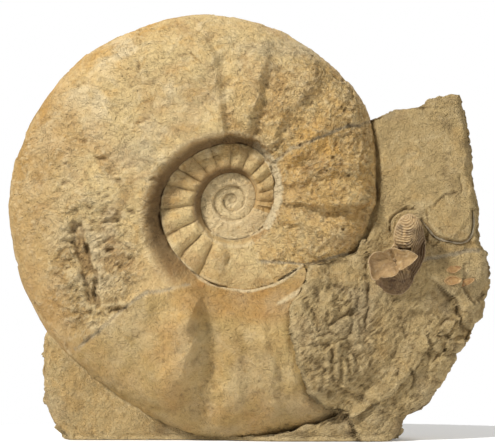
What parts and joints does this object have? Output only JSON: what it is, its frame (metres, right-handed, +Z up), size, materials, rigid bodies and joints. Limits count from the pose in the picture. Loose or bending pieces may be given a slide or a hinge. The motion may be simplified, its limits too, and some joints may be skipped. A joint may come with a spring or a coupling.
{
  "type": "ammonite fossil",
  "caption": "Large coiled ammonite fossil standing in its own rock, with a curled oyster beside it.",
  "frame": {"origin": "bottom centre of the whole piece, on the sawn base", "axes": "+X across the fossil towards the rock's side, +Y through its thickness from the prepared face to the back, +Z up"},
  "size_m": [0.4028, 0.1, 0.3563],
  "materials": {
    "ammonite_stone": "buff limestone with ochre and rust staining, matt, worn",
    "rock": "khaki brown sandy limestone, broken and pitted, matt",
    "oyster_shell": "brown calcite shell with fine growth ridges, satin in the worn places",
    "oyster_lid_shell": "fawn calcite shell, smooth, satin",
    "broken_shell": "grey brown shell seen edge-on, matt",
    "rusty_shell": "orange brown shell, stained by iron, satin"
  },
  "bodies": {
    "root": {"ammonite": "ammonite_stone", "matrix_block": "rock", "oyster_left_valve": "oyster_shell", "oyster_right_valve": "oyster_lid_shell", "shell_section": "broken_shell", "shell_fragment_1": "rusty_shell", "shell_fragment_2": "rusty_shell", "shell_fragment_3": "rusty_shell"}
  },
  "joints": []
}
